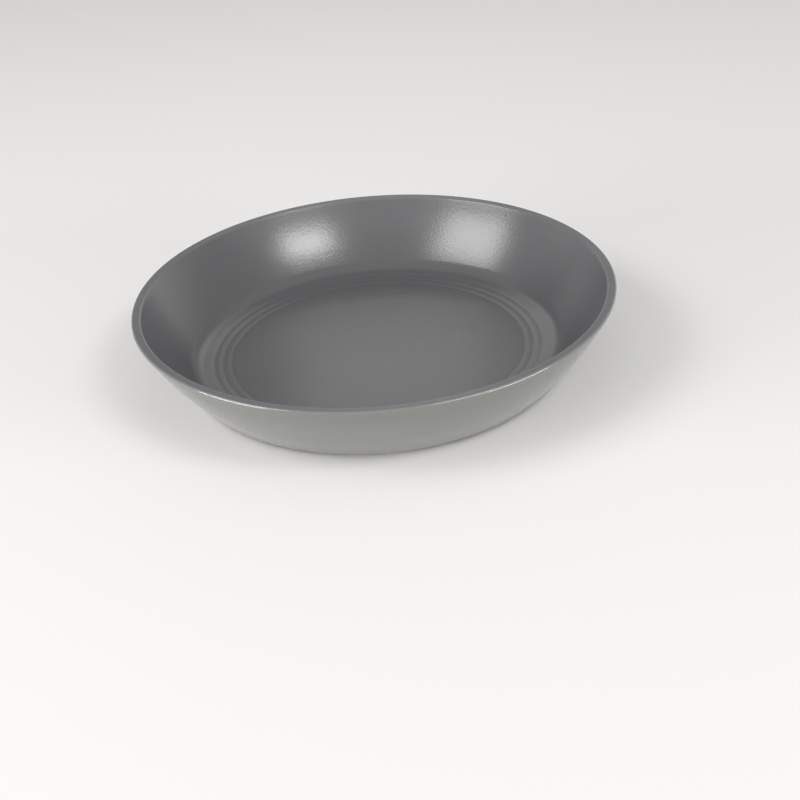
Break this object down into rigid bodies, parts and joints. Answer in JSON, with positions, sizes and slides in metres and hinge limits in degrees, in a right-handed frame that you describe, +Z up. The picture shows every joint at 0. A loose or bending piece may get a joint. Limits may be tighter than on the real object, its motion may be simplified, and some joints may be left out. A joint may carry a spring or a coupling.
{
  "type": "pasta bowl",
  "caption": "Shallow round glazed stoneware pasta bowl with a flaring wall, a flat well edged by shallow rings, and a low foot ring.",
  "frame": {"origin": "centre of the foot ring's resting face, on the surface that the bowl stands on", "axes": "+Z up along the bowl's axis, through the middle of the rim; +X and +Y are any two directions square to it, because the bowl is round"},
  "size_m": [0.23, 0.23, 0.038],
  "materials": {
    "stoneware": "matte",
    "satin_glaze": "satin",
    "smooth_glaze": "satin"
  },
  "bodies": {
    "root": {"clay_body": "stoneware", "inside_glaze": "satin_glaze", "outside_glaze": "smooth_glaze", "underside_glaze": "smooth_glaze"}
  },
  "joints": []
}
